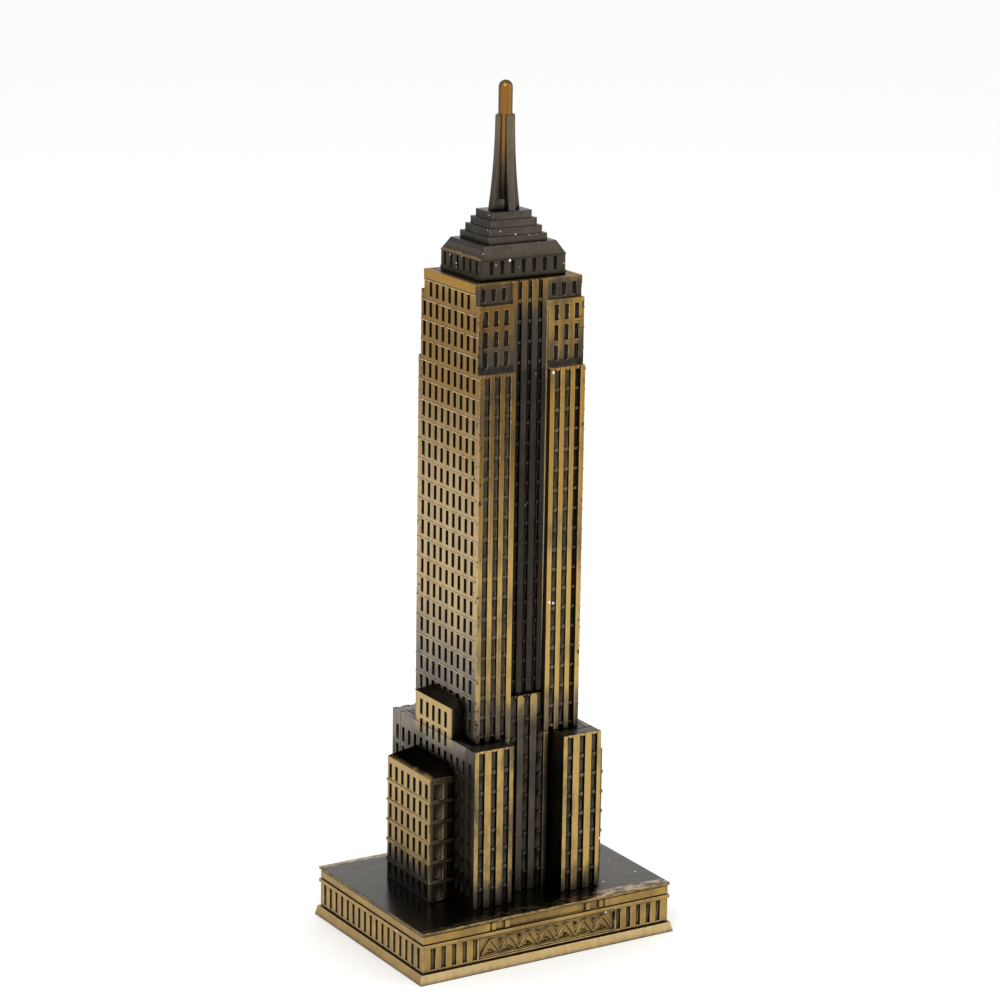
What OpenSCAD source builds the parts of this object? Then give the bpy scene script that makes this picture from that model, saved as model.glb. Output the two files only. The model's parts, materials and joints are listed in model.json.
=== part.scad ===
// Miniature setback tower, cast in sections and bronzed, on a moulded rectangular plinth.
// Z is up, the front faces -Y, and the origin is the centre of the face it rests on.
// Every elevation is laid out on one window pitch, mirrored left to right and front to rear.

/* [Window layout] */
// Distance between window columns
bay = 2.5; // [2.4:0.05:2.55]
// Width of a window slot
slot_w = 0.9; // [0.7:0.05:1.1]
// Height of a window
window_h = 3.1; // [2.8:0.05:3.3]
// Distance between window rows
storey = 4.2; // [4.1:0.05:4.3]
// Depth that a window is let into a side wall
window_d = 0.6; // [0.4:0.05:0.75]

/* [Plinth] */
// Half width of the plinth wall, left to right
plinth_hx = 29.95; // [29.5:0.05:31]
// Half depth of the plinth wall, front to rear
plinth_hy = 21.95; // [21.6:0.05:23]
// Thickness of the plinth wall
plinth_wall = 1.8; // [1.6:0.05:2.2]
// Spread of the splayed foot beyond the wall
foot_spread = 1; // [0.7:0.05:1.4]
// Height of the splayed foot
foot_h = 2.1; // [1.8:0.05:2.4]
// Depth of the slots in the plinth wall
slot_d = 0.8; // [0.5:0.05:1.1]

/* [Podium] */
// Half width of the podium, left to right
podium_hx = 15.3; // [15:0.05:15.6]
// Half depth of the podium, front to rear
podium_hy = 17.2; // [17:0.05:17.5]
// Height of the podium roof above the base
podium_top = 45.7; // [45.4:0.05:46]
// Width of each corner pylon
pylon_w = 9.25; // [9.1:0.05:9.4]
// Half width of a wing's outer wall from the centre line
wing_hx = 21.15; // [20.7:0.05:21.6]
// Half depth of a wing
wing_hy = 8.85; // [8.7:0.05:9]
// Height of a wing's eaves
wing_top = 38.4; // [38:0.05:38.8]
// Distance between a wing's window rows
wing_storey = 4.4; // [4.3:0.05:4.45]

/* [Tower] */
// Half width of the tower, left to right
tower_hx = 12.5; // [12.4:0.05:12.6]
// Half depth of the tower over its ribbed bays
tower_hy = 12.4; // [12.3:0.05:12.5]
// Top of the ribbed bays, where the first setback is
ribbed_top = 122.9; // [122.6:0.05:123.1]
// Top of the window bays, where the second setback is
bay_top = 136.8; // [136.6:0.05:137]
// Height of the tower deck
tower_top = 141.1; // [141:0.05:141.3]

/* [Crown] */
// Half width of the observatory
deck_hx = 10; // [9.9:0.05:10.1]
// Half depth of the observatory
deck_hy = 7.95; // [7.8:0.05:8.1]
// Number of tiers in the stepped pyramid
tiers = 4; // [3:1:5]
// Height of the stepped pyramid
pyramid_h = 6; // [5.4:0.1:6.6]
// Height of the fins on the mast
fin_h = 19.3; // [18:0.1:20]
// Radius of the antenna rod
rod_r = 1.45; // [1.35:0.01:1.5]
// Height of the rod's tip above the base
total_h = 180; // [178:0.5:182]

/* [Fixings] */
// Radius of the tie rod that holds the sections together
tie_r = 1.5; // [1.25:0.05:1.5]
// Radius of a base screw's shank
screw_r = 0.85; // [0.75:0.05:0.9]

/* [Hidden] */
$fn = 48;

bronze = [0.66, 0.56, 0.36];
bronze_side = [0.62, 0.55, 0.43];
patina = [0.22, 0.20, 0.18];
brass = [0.68, 0.50, 0.26];
steel = [0.70, 0.71, 0.73];
felt = [0.07, 0.16, 0.11];
past = 1;                        // overshoot of every cutting tool
overlap = 0.01;                  // how far stacked shapes of one casting run into each other

// Plinth mouldings, from the foot up
bead_z = 7.5;
bead_h = 0.8;
neck_h = 0.2;
fascia_h = 1.65;
nosing_h = 0.65;
moulding = 0.3;                  // how far the bead and the nosing stand proud
neck_in = 0.2;                   // how far each neck is cut back
shell_top = bead_z + bead_h + neck_h + fascia_h + neck_h;
eaves_z = shell_top + nosing_h;
roof_rise = 0.4;
ground = eaves_z + roof_rise;    // level that the podium stands on
slot_z = [foot_h + 0.6, bead_z - 0.2];
side_slots = 8;                  // slots each side of the middle one
front_slots = [7:11];            // window columns beside the frieze
rear_slots = 11;
plinth_slot_w = slot_w + 0.1;
frieze_hx = 16.6;
frieze_d = 1;
frieze_t = 0.5;
channel_hx = 13.95;
channel_d = 0.45;

// Base
pad_t = 1;
plate_t = 1.2;
rebate = 1.05;                   // wall left beside the closing plate
boss_x = 24;
boss_y = 16;
boss_r = 2.3;
head_r = 1.9;
head_h = 0.9;
shank_gap = 0.1;
cross_hl = 1.1;                  // cross recess in a screw head: half length, half width and depth
cross_hw = 0.2;
cross_d = 0.45;
access_r = 5;                    // hole under the tie nut
fit_gap = 0.05;

// Podium
wall_t = 1.6;
podium_roof_t = 1.2;
relief = 1;                      // height of the ribs above the window columns
pylon_back = 13.75;              // seam between the pylons and the side walls
bay_floor = tower_hy - relief;   // the centre bay carries the tower's front down to the ground
bay_back = bay_floor - 1.4;
bay_rib_x = 1.55;
bay_rib_w = 1.7;
bay_half = 4.1;                  // half width of the tower's central recess
bay_crest = 54.6;
recess_z = bay_crest - 0.3;      // ledge at the foot of the recess
return_t = 1.5;                  // inner return of each pylon
spandrel_h = 0.85;
spandrel_proud = 0.45;
spandrel_drop = 4.6;             // from the podium roof down to the first spandrels
podium_row = 42.5;               // top of the highest row of podium windows
podium_rows = 7;
wing_rows = 6;
wing_row = wing_top - 1.5;
wing_t = 1.5;
wing_cover = 1;
return_in = 2.2;                 // windows in a wing's narrow faces: place of the first, pitch and width
return_pitch = 3.3;
return_w = 2.1;
course_proud = 0.18;
course_h = 0.6;
course_drop = 0.3;
wing_ridge = 2.4;
wing_hip = 3;
ridge_w = 0.4;
step_hy = 7.5;
step_top = 52.45;
step_ridge = 1.7;
step_hip = 3.2;

// Tower
panel_t = 1.15;                  // side wall of the tower, which is also its corner rib
plate_y = 10.3;                  // face of the top storey and of the central recess
plate_back = 8.9;
bay_y = 11.5;                    // face of the window bays
rib_w = panel_t;
rib_pitch = (tower_hx - rib_w - bay_half) / 3;
side_row = 138.7;                // top of the highest row of side windows
side_rows = 22;
parapet_h = 1.9;
parapet_proud = 0.15;
ledge_h = 0.3;                   // thin ledge over every row of side windows
ledge_proud = 0.12;
sill_w = 1.5;                    // small sills in the window bays
sill_h = 0.45;
sill_proud = 0.15;
recess_y = plate_y + 0.45;       // face of the panel in the central recess
recess_grooves = [[-2.9, -2], [-0.42, 0.42], [2, 2.9]];
groove_d = 0.8;
stop_h = 0.8;                    // blocks between the small windows in each groove
stop_in = 0.3;
top_window_h = 2.55;
front_row = 139.85;              // top of the highest row of front windows
ribbed_row = ribbed_top - 1.1;
deck_t = 1.1;

// Crown
base_course = 0.9;
course_in = 0.1;                 // how far the observatory's base course stands proud
deck_wall_top = 145.2;
eaves_h = 0.25;
eaves_proud = 0.12;
crown_top = 147.9;
crown_in = 1.4;
pyramid_hx = 7;
pyramid_hy = 5.65;
tier_in = 0.77;
mast_z = crown_top + pyramid_h;
fin_foot = 3.35;
fin_head = 1.95;
fin_t = 1.6;
hub_r = 1.75;
hub_h = 2.2;
shoulder_r = 0.45;
rod_socket = 1.5;                // depth of the rod's foot in the pyramid

// Fixings
tie_clear = 0.2;
tie_end = 143.5;
tie_start = 6.2;
washer_r = 3.5;
washer_t = 0.6;
nut_af = 5.5;
nut_h = 2.4;
screw_len = 6;

// ---- shared shapes ----

// Box between two corners
module box(lo, hi) {
    translate(lo) cube(hi - lo);
}

// Box centred on the Z axis, from half sizes and two heights
module slab(hx, hy, z0, z1) {
    box([-hx, -hy, z0], [hx, hy, z1]);
}

// Plate that faces -Y, from its half width, the distances of its two faces and two heights
module front_plate(hx, y0, y1, z0, z1) {
    box([-hx, -y1, z0], [hx, -y0, z1]);
}

// Solid with flat sloping sides between two rectangles, each [x0, y0, x1, y1]
module hipped(lo, z0, hi, z1) {
    polyhedron(
        points = [
            [lo[0], lo[1], z0], [lo[2], lo[1], z0], [lo[2], lo[3], z0], [lo[0], lo[3], z0],
            [hi[0], hi[1], z1], [hi[2], hi[1], z1], [hi[2], hi[3], z1], [hi[0], hi[3], z1]],
        faces = [[0, 1, 2, 3], [7, 6, 5, 4], [0, 4, 5, 1], [1, 5, 6, 2], [2, 6, 7, 3], [3, 7, 4, 0]]);
}

// The same, centred on the Z axis
module hipped_slab(hx, hy, z0, top_hx, top_hy, z1) {
    hipped([-hx, -hy, hx, hy], z0, [-top_hx, -top_hy, top_hx, top_hy], z1);
}

// Pockets in a wall that faces -Y, at the given x places and window tops
module front_windows(xs, tops, face, depth, w, h) {
    for (x = xs, top = tops)
        box([x - w / 2, -face - past, top - h], [x + w / 2, -face + depth, top]);
}

// Pockets in a wall that faces -X
module side_windows(ys, tops, face, depth, w, h) {
    for (y = ys, top = tops)
        box([-face - past, y - w / 2, top - h], [-face + depth, y + w / 2, top]);
}

// Hole that the tie rod passes with some play
module tie_hole(z0, z1) {
    translate([0, 0, z0]) cylinder(r = tie_r + tie_clear, h = z1 - z0);
}

// Window columns on the common pitch, n each side of the middle
function columns(n) = [for (i = [-n:n]) i * bay];
function rows(top, n, pitch) = [for (i = [0:n - 1]) top - i * pitch];

// ---- plinth ----

module plinth_block() {
    hipped_slab(plinth_hx + foot_spread, plinth_hy + foot_spread, 0,
        plinth_hx + foot_spread / 2, plinth_hy + foot_spread / 2, foot_h);
    slab(plinth_hx - neck_in, plinth_hy - neck_in, foot_h / 2, shell_top);
    slab(plinth_hx, plinth_hy, foot_h + neck_h, bead_z);
    slab(plinth_hx + moulding, plinth_hy + moulding, bead_z, bead_z + bead_h);
    slab(plinth_hx, plinth_hy, bead_z + bead_h + neck_h, shell_top - neck_h);
}

module plinth_slots() {
    slots = [slot_z[1]];
    h = slot_z[1] - slot_z[0];
    w = plinth_slot_w;
    for (m = [0, 1]) mirror([m, 0, 0]) {
        side_windows(columns(side_slots), slots, plinth_hx, slot_d, w, h);
        front_windows([for (i = front_slots) i * bay], slots, plinth_hy, slot_d, w, h);
    }
    mirror([0, 1, 0]) front_windows(columns(rear_slots), slots, plinth_hy, slot_d, w, h);
}

// Sunk channel in the front fascia with two pairs of small posts left standing
module fascia_channel() {
    z0 = bead_z + bead_h + neck_h;
    post_hw = 0.55;
    posts = [9.85, 13.1];
    difference() {
        box([-channel_hx, -plinth_hy - past, z0], [channel_hx, -plinth_hy + channel_d, shell_top - neck_h]);
        for (side = [-1, 1], x = posts)
            box([side * x - post_hw, -plinth_hy - past, z0 - past],
                [side * x + post_hw, -plinth_hy + past, shell_top]);
    }
}

module plinth_shell() {
    color(bronze) difference() {
        plinth_block();
        slab(plinth_hx - plinth_wall, plinth_hy - plinth_wall, -past, shell_top + past);
        slab(plinth_hx - rebate, plinth_hy - rebate, -past, pad_t + plate_t);
        plinth_slots();
        fascia_channel();
        box([-frieze_hx, -plinth_hy - past, slot_z[0]], [frieze_hx, -plinth_hy + frieze_d, slot_z[1]]);
    }
}

// Low hipped roof whose edge is the plinth's nosing
module roof_block() {
    slab(plinth_hx + moulding, plinth_hy + moulding, shell_top, eaves_z);
    hipped_slab(plinth_hx, plinth_hy, eaves_z - overlap, podium_hx, podium_hy, ground);
}

module plinth_roof() {
    lip_x = plinth_hx - plinth_wall - fit_gap;
    lip_y = plinth_hy - plinth_wall - fit_gap;
    lip_h = 1;
    lip_t = 1;
    boss_z = pad_t + plate_t;
    color(patina) difference() {
        union() {
            roof_block();
            difference() {
                slab(lip_x, lip_y, shell_top - lip_h, shell_top + overlap);
                slab(lip_x - lip_t, lip_y - lip_t, shell_top - lip_h - past, shell_top);
            }
            for (x = [-boss_x, boss_x], y = [-boss_y, boss_y])
                translate([x, y, boss_z]) cylinder(r = boss_r, h = shell_top - boss_z + overlap);
        }
        for (x = [-boss_x, boss_x], y = [-boss_y, boss_y])
            translate([x, y, 0]) cylinder(r = screw_r, h = pad_t + screw_len + past);
        tie_hole(shell_top - past, ground + past);
    }
}

// One plain zigzag run with a stud in every angle, between two thin rails
module front_frieze() {
    face = plinth_hy - frieze_d + frieze_t;
    low = slot_z[0] + fit_gap;
    high = slot_z[1] - fit_gap;
    hx = frieze_hx - fit_gap;
    raised = 0.38;
    rail = 0.32;
    margin = 0.6;
    count = 14;
    bar_hw = 0.2;
    stud_r = 0.36;
    run = 2 * (hx - margin) / count;
    rise = high - low - 4 * rail;
    mid = (low + high) / 2;
    lean = atan2(run, rise);
    bar_hz = rise / 2 / cos(lean);
    root = face - fit_gap;           // the relief is rooted a little way into the panel
    color(bronze) {
        box([-hx, -face, low], [hx, -plinth_hy + frieze_d, high]);
        for (z = [low, high - rail])
            box([-hx, -face - raised, z], [hx, -root, z + rail]);
        for (i = [0:count - 1])
            translate([margin - hx + (i + 0.5) * run, 0, mid]) rotate([0, (i % 2 == 0 ? 1 : -1) * lean, 0])
                box([-bar_hw, -face - raised, -bar_hz], [bar_hw, -root, bar_hz]);
        for (i = [1:count - 1])
            translate([margin - hx + i * run, -root, mid + (i % 2 == 0 ? 1 : -1) * rise * 0.3])
                rotate([90, 0, 0]) cylinder(r = stud_r, h = raised + face - root, $fn = 24);
    }
}

module base_plate() {
    color(steel) difference() {
        slab(plinth_hx - rebate - fit_gap, plinth_hy - rebate - fit_gap, pad_t, pad_t + plate_t);
        for (x = [-boss_x, boss_x], y = [-boss_y, boss_y]) translate([x, y, pad_t]) {
            cylinder(r1 = head_r, r2 = screw_r + shank_gap, h = head_h);
            cylinder(r = screw_r + shank_gap, h = plate_t + past);
        }
        translate([0, 0, pad_t - past]) cylinder(r = access_r, h = plate_t + 2 * past);
    }
}

module base_screws() {
    color(steel) for (x = [-boss_x, boss_x], y = [-boss_y, boss_y]) translate([x, y, pad_t]) difference() {
        union() {
            cylinder(r1 = head_r - fit_gap, r2 = screw_r, h = head_h);
            cylinder(r = screw_r, h = screw_len);
        }
        for (turn = [0, 90]) rotate(turn) box([-cross_hl, -cross_hw, -past], [cross_hl, cross_hw, cross_d]);
    }
}

module felt_pad() {
    hx = plinth_hx - rebate - 0.1;
    hy = plinth_hy - rebate - 0.1;
    r = 1.5;
    color(felt) linear_extrude(pad_t) {
        square([2 * (hx - r), 2 * hy], center = true);
        square([2 * hx, 2 * (hy - r)], center = true);
        for (x = [r - hx, hx - r], y = [r - hy, hy - r]) translate([x, y]) circle(r);
    }
}

// ---- podium ----

// Left side wall between the two left pylons
module podium_side() {
    tops = rows(podium_row, podium_rows, storey);
    color(bronze_side) difference() {
        box([-podium_hx, -pylon_back, ground], [wall_t - podium_hx, pylon_back, podium_top]);
        side_windows(columns(5), tops, podium_hx, window_d, slot_w, window_h);
        side_windows(columns(2), [podium_row + storey], podium_hx, window_d, slot_w, window_h);
    }
}

module podium_left_wall() {
    podium_side();
}

module podium_right_wall() {
    mirror([1, 0, 0]) podium_side();
}

module podium_roof() {
    in_x = podium_hx - wall_t;
    notch_hx = podium_hx - pylon_w + return_t;
    color(patina) difference() {
        slab(in_x, pylon_back, podium_top - podium_roof_t, podium_top);
        for (m = [0, 1]) mirror([0, m, 0])
            box([-notch_hx, -pylon_back - past, podium_top - podium_roof_t - past],
                [notch_hx, -bay_back, podium_top + past]);
        tie_hole(podium_top - podium_roof_t - past, podium_top + past);
    }
}

// Corner pylon at the front left: four ribs, with a column of windows between each two
module pylon() {
    outer = -podium_hx;
    inner = pylon_w - podium_hx;
    rib_edge = 1;
    rib_mid = 1.6;
    rib_over = 0.05;                 // how far the ribs rise above the roof
    lintel_in = 0.25;
    col_w = (pylon_w - 2 * rib_edge - 2 * rib_mid) / 3;
    face = podium_hy - relief;
    lintel = podium_top - 0.6;
    spandrels = rows(podium_top - spandrel_drop, podium_rows, storey);
    windows = rows(podium_row, podium_rows, storey);
    ribs = [[0, rib_edge],
        [rib_edge + col_w, rib_mid],
        [rib_edge + 2 * col_w + rib_mid, rib_mid],
        [pylon_w - rib_edge, rib_edge]];
    color(bronze) difference() {
        union() {
            box([outer, -face, ground], [inner, -pylon_back, podium_top]);
            box([inner - return_t, -face, ground], [inner, -bay_back, podium_top]);
            for (rib = ribs)
                box([outer + rib[0], -podium_hy, ground],
                    [outer + rib[0] + rib[1], -face, podium_top + rib_over]);
            for (i = [0:2]) {
                x0 = outer + ribs[i][0] + ribs[i][1];
                box([x0, -podium_hy + lintel_in, lintel], [x0 + col_w, -face, podium_top]);
                for (top = spandrels)
                    box([x0, -face - spandrel_proud, top - spandrel_h], [x0 + col_w, -face, top]);
            }
        }
        side_windows([-6 * bay], windows, podium_hx, window_d, slot_w, window_h);
    }
}

module front_left_pylon() {
    pylon();
}

module front_right_pylon() {
    mirror([1, 0, 0]) pylon();
}

module rear_left_pylon() {
    mirror([0, 1, 0]) pylon();
}

module rear_right_pylon() {
    mirror([1, 0, 0]) mirror([0, 1, 0]) pylon();
}

// Rib of the central bay, whose head is rounded above its shoulders
module round_rib(x, w, y0, y1, z0, z1) {
    r = w / 2;
    shoulder = 0.6 * r;
    box([x - r, -y1, z0], [x + r, -y0, z1 - shoulder]);
    translate([x, -y0, z1 - r]) rotate([90, 0, 0]) cylinder(r = r, h = y1 - y0);
}

// Central bay between the pylons: the tower's inner ribs and two round-headed ones
module centre_bay() {
    side_hx = podium_hx - pylon_w;
    tops = rows(podium_top - spandrel_drop + 2 * storey, podium_rows + 2, storey);
    rib_side = bay_rib_w / 2;
    color(bronze) {
        front_plate(side_hx, bay_back, bay_floor, ground, podium_top);
        front_plate(bay_half, plate_y, bay_floor, podium_top - past, recess_z);
        for (m = [0, 1]) mirror([m, 0, 0]) {
            box([bay_half, -tower_hy, ground], [bay_half + rib_w, -bay_floor, podium_top]);
            round_rib(bay_rib_x, bay_rib_w, recess_y + fit_gap, tower_hy, ground, bay_crest);
            for (top = tops) {
                box([0, -bay_floor - spandrel_proud, top - spandrel_h],
                    [bay_rib_x - rib_side, -bay_floor, top]);
                box([bay_rib_x + rib_side, -bay_floor - spandrel_proud, top - spandrel_h],
                    [bay_half, -bay_floor, top]);
            }
            for (i = [2:podium_rows + 1])
                box([bay_half + rib_w, -bay_floor - spandrel_proud, tops[i] - spandrel_h],
                    [side_hx, -bay_floor, tops[i]]);
        }
    }
}

module front_centre_bay() {
    centre_bay();
}

module rear_centre_bay() {
    mirror([0, 1, 0]) centre_bay();
}

// Low wing against the left side wall: string courses between its window rows
module wing() {
    tops = rows(wing_row, wing_rows, wing_storey);
    front_xs = [return_in - wing_hx, return_in + return_pitch - wing_hx];
    color(bronze_side) difference() {
        union() {
            box([-wing_hx, -wing_hy, ground - roof_rise], [-podium_hx, wing_hy, wing_top]);
            for (i = [0:wing_rows - 2]) {
                z = wing_row - window_h - course_drop - i * wing_storey;
                box([-wing_hx - course_proud, -wing_hy - course_proud, z - course_h],
                    [-podium_hx, wing_hy + course_proud, z]);
            }
        }
        roof_block();
        box([wing_t - wing_hx, wing_t - wing_hy, ground - past],
            [past - podium_hx, wing_hy - wing_t, wing_top - wing_cover]);
        side_windows(columns(3), tops, wing_hx, window_d, slot_w, window_h);
        for (m = [0, 1]) mirror([0, m, 0])
            front_windows(front_xs, tops, wing_hy, window_d, return_w, window_h);
    }
}

module left_wing() {
    wing();
}

module right_wing() {
    mirror([1, 0, 0]) wing();
}

module wing_roof() {
    ridge_y = wing_hy - wing_hip;
    color(patina) hipped([-wing_hx, -wing_hy, -podium_hx, wing_hy], wing_top,
        [-podium_hx - ridge_w, -ridge_y, -podium_hx, ridge_y], wing_top + wing_ridge);
}

module left_wing_roof() {
    wing_roof();
}

module right_wing_roof() {
    mirror([1, 0, 0]) wing_roof();
}

// Block that steps up from the podium's side wall against the tower
module step_block() {
    ridge_y = step_hy - step_hip;
    tops = [podium_row + storey, podium_row + 2 * storey];
    color(bronze_side) difference() {
        union() {
            box([-podium_hx, -step_hy, podium_top], [-tower_hx, step_hy, step_top]);
            hipped([-podium_hx, -step_hy, -tower_hx, step_hy], step_top - overlap,
                [-tower_hx - ridge_w / 2, -ridge_y, -tower_hx, ridge_y], step_top + step_ridge);
        }
        side_windows(columns(2), tops, podium_hx, window_d, slot_w, window_h);
    }
}

module left_step_block() {
    step_block();
}

module right_step_block() {
    mirror([1, 0, 0]) step_block();
}

// ---- tower ----

// Side panel, whose front and rear edges are the corner ribs of the three stages
module tower_side() {
    tops = rows(side_row, side_rows, storey);
    color(bronze_side) difference() {
        union() {
            box([-tower_hx, -tower_hy, podium_top], [panel_t - tower_hx, tower_hy, ribbed_top]);
            box([-tower_hx, -bay_y, podium_top], [panel_t - tower_hx, bay_y, bay_top]);
            box([-tower_hx, -plate_y, podium_top], [panel_t - tower_hx, plate_y, tower_top]);
            box([-tower_hx - parapet_proud, -plate_y, tower_top - parapet_h],
                [panel_t - tower_hx, plate_y, tower_top]);
            for (top = tops) {
                y = top > bay_top ? plate_y : (top > ribbed_top ? bay_y : tower_hy);
                box([-tower_hx - ledge_proud, -y, top], [panel_t - tower_hx, y, top + ledge_h]);
            }
        }
        side_windows(columns(3), [side_row], tower_hx, window_d, slot_w, window_h);
        side_windows(columns(4), [for (i = [1:side_rows - 1]) tops[i]], tower_hx, window_d, slot_w, window_h);
    }
}

module tower_left_wall() {
    tower_side();
}

module tower_right_wall() {
    mirror([1, 0, 0]) tower_side();
}

// Half of a long ribbed bay: three ribs, and windows with spandrels between them
module ribbed_bay() {
    hx = tower_hx - panel_t;
    floor_y = tower_hy - relief;
    lintel_h = 0.8;
    lintel_in = 0.3;
    proud = 0.55;
    gap = storey - window_h;
    first = ribbed_row - window_h - fit_gap;
    count = floor((first - gap - podium_top) / storey) + 1;
    for (i = [0:2]) {
        x0 = bay_half + i * rib_pitch + rib_w;
        x1 = min(x0 + rib_pitch - rib_w, hx);
        box([x0 - rib_w, -tower_hy, podium_top], [x0, -floor_y, ribbed_top]);
        box([x0, -tower_hy + lintel_in, ribbed_top - lintel_h], [x1, -floor_y, ribbed_top]);
        for (top = rows(first, count, storey))
            box([x0, -floor_y - proud, top - gap + 5 * fit_gap], [x1, -floor_y, top - 2 * fit_gap]);
    }
}

// Grooves of the central recess, less the blocks that part their windows
module recess_cut() {
    stops = rows(front_row - top_window_h, floor((front_row - top_window_h - recess_z) / storey) + 1, storey);
    for (x = recess_grooves) difference() {
        box([x[0], -recess_y - past, recess_z], [x[1], groove_d - recess_y, tower_top + past]);
        for (top = stops)
            box([x[0] - past, stop_in - recess_y, top - stop_h], [x[1] + past, groove_d, top]);
    }
}

// Front panel: top storey, two window bays, two ribbed bays and the recess between them
module tower_front() {
    hx = tower_hx - panel_t;
    floor_y = tower_hy - relief;
    xs = [for (i = [0:2]) bay_half + rib_w / 2 + (i + 0.5) * rib_pitch];
    all_xs = concat(xs, [for (x = xs) -x]);
    color(bronze) difference() {
        union() {
            front_plate(hx, plate_back, plate_y, podium_top, tower_top);
            front_plate(bay_half, plate_y, recess_y, recess_z, tower_top);
            for (m = [0, 1]) mirror([m, 0, 0]) {
                box([bay_half, -bay_y, ribbed_top], [hx, -plate_back, bay_top]);
                box([bay_half, -floor_y, podium_top], [hx, -plate_back, ribbed_top]);
                ribbed_bay();
                for (x = xs, top = rows(front_row - storey - window_h, 2, storey))
                    box([x - sill_w / 2, -bay_y - sill_proud, top - sill_h], [x + sill_w / 2, -bay_y, top]);
            }
        }
        front_windows(all_xs, [front_row], plate_y, window_d, slot_w, top_window_h);
        front_windows(all_xs, rows(front_row - storey, 3, storey), bay_y, window_d, slot_w, window_h);
        recess_cut();
    }
}

module tower_front_wall() {
    tower_front();
}

module tower_rear_wall() {
    mirror([0, 1, 0]) tower_front();
}

module tower_deck() {
    color(patina) difference() {
        slab(tower_hx - panel_t, plate_back, tower_top - deck_t, tower_top);
        tie_hole(tower_top - deck_t - past, tower_top + past);
    }
}

// ---- crown ----

module observatory() {
    head = 0.3;
    sill = 0.2;
    w = 0.7;
    depth = 0.5;
    tops = [deck_wall_top - head];
    h = deck_wall_top - tower_top - base_course - head - sill;
    color(patina) difference() {
        union() {
            slab(deck_hx + course_in, deck_hy + course_in, tower_top, tower_top + base_course);
            slab(deck_hx, deck_hy, tower_top, deck_wall_top);
        }
        for (m = [0, 1]) {
            mirror([0, m, 0]) front_windows(columns(3), tops, deck_hy, depth, w, h);
            mirror([m, 0, 0]) side_windows([for (i = [-2.5:2.5]) i * bay], tops, deck_hx, depth, w, h);
        }
        translate([0, 0, tower_top - past]) cylinder(r = tie_r, h = tie_end - tower_top + past);
    }
}

module observatory_roof() {
    color(patina) {
        slab(deck_hx + eaves_proud, deck_hy + eaves_proud, deck_wall_top, deck_wall_top + eaves_h);
        hipped_slab(deck_hx, deck_hy, deck_wall_top + eaves_h - overlap,
            deck_hx - crown_in, deck_hy - crown_in, crown_top);
    }
}

module stepped_pyramid() {
    tier = pyramid_h / tiers;
    color(patina) difference() {
        for (i = [0:tiers - 1])
            slab(pyramid_hx - i * tier_in, pyramid_hy - i * tier_in,
                crown_top + (i == 0 ? 0 : i * tier - overlap), crown_top + (i + 1) * tier);
        translate([0, 0, mast_z - rod_socket]) cylinder(r = rod_r, h = rod_socket + past);
    }
}

// Outline of one fin: it flares to its foot by a square law and is rounded at its shoulder
function fin_edge(s) = fin_head + (fin_foot - fin_head) * (1 - s) * (1 - s);
function fin_outline(n, r) = concat([[0, 0]],
    [for (i = [0:n]) [fin_edge(i / n * (1 - r / fin_h)), i / n * (fin_h - r)]],
    [for (a = [15:15:90]) [fin_head - r + r * cos(a), fin_h - r + r * sin(a)]],
    [[0, fin_h]]);

module mast() {
    color(patina) difference() {
        union() {
            for (turn = [0:90:270]) rotate(turn) translate([0, fin_t / 2, mast_z])
                rotate([90, 0, 0]) linear_extrude(fin_t) polygon(fin_outline(12, shoulder_r));
            translate([0, 0, mast_z]) cylinder(r = hub_r, h = hub_h);
        }
        translate([0, 0, mast_z - past]) cylinder(r = rod_r, h = fin_h + 2 * past);
    }
}

module antenna_rod() {
    color(brass) {
        translate([0, 0, mast_z - rod_socket]) cylinder(r = rod_r, h = total_h - rod_r - mast_z + rod_socket);
        translate([0, 0, total_h - rod_r]) sphere(r = rod_r);
    }
}

// ---- fixings ----

module tie_rod() {
    color(steel) translate([0, 0, tie_start]) cylinder(r = tie_r, h = tie_end - tie_start);
}

module tie_washer() {
    color(steel) translate([0, 0, shell_top - washer_t]) difference() {
        cylinder(r = washer_r, h = washer_t);
        translate([0, 0, -past]) cylinder(r = tie_r + tie_clear / 2, h = washer_t + 2 * past);
    }
}

module tie_nut() {
    color(steel) translate([0, 0, shell_top - washer_t - nut_h]) difference() {
        cylinder(d = nut_af / cos(30), h = nut_h, $fn = 6);
        translate([0, 0, -past]) cylinder(r = tie_r, h = nut_h + 2 * past);
    }
}

plinth_shell();
plinth_roof();
front_frieze();
base_plate();
base_screws();
felt_pad();
podium_left_wall();
podium_right_wall();
podium_roof();
front_left_pylon();
front_right_pylon();
rear_left_pylon();
rear_right_pylon();
front_centre_bay();
rear_centre_bay();
left_wing();
right_wing();
left_wing_roof();
right_wing_roof();
left_step_block();
right_step_block();
tower_front_wall();
tower_rear_wall();
tower_left_wall();
tower_right_wall();
tower_deck();
observatory();
observatory_roof();
stepped_pyramid();
mast();
antenna_rod();
tie_rod();
tie_washer();
tie_nut();
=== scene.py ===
"""Miniature setback tower in antique bronze: materials, fine details, light and camera.

The castings are plated bronze that was blackened and then rubbed back, so every material is worked out
from how far a spot was exposed to the rubbing: flat faces and edges are gold, hollows are near black.
In places the same levels and colours also carry painted shade and painted reflections, named where they are
made.
"""

import json
import math

import bpy
import numpy as np
from mathutils import Matrix, Vector


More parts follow.
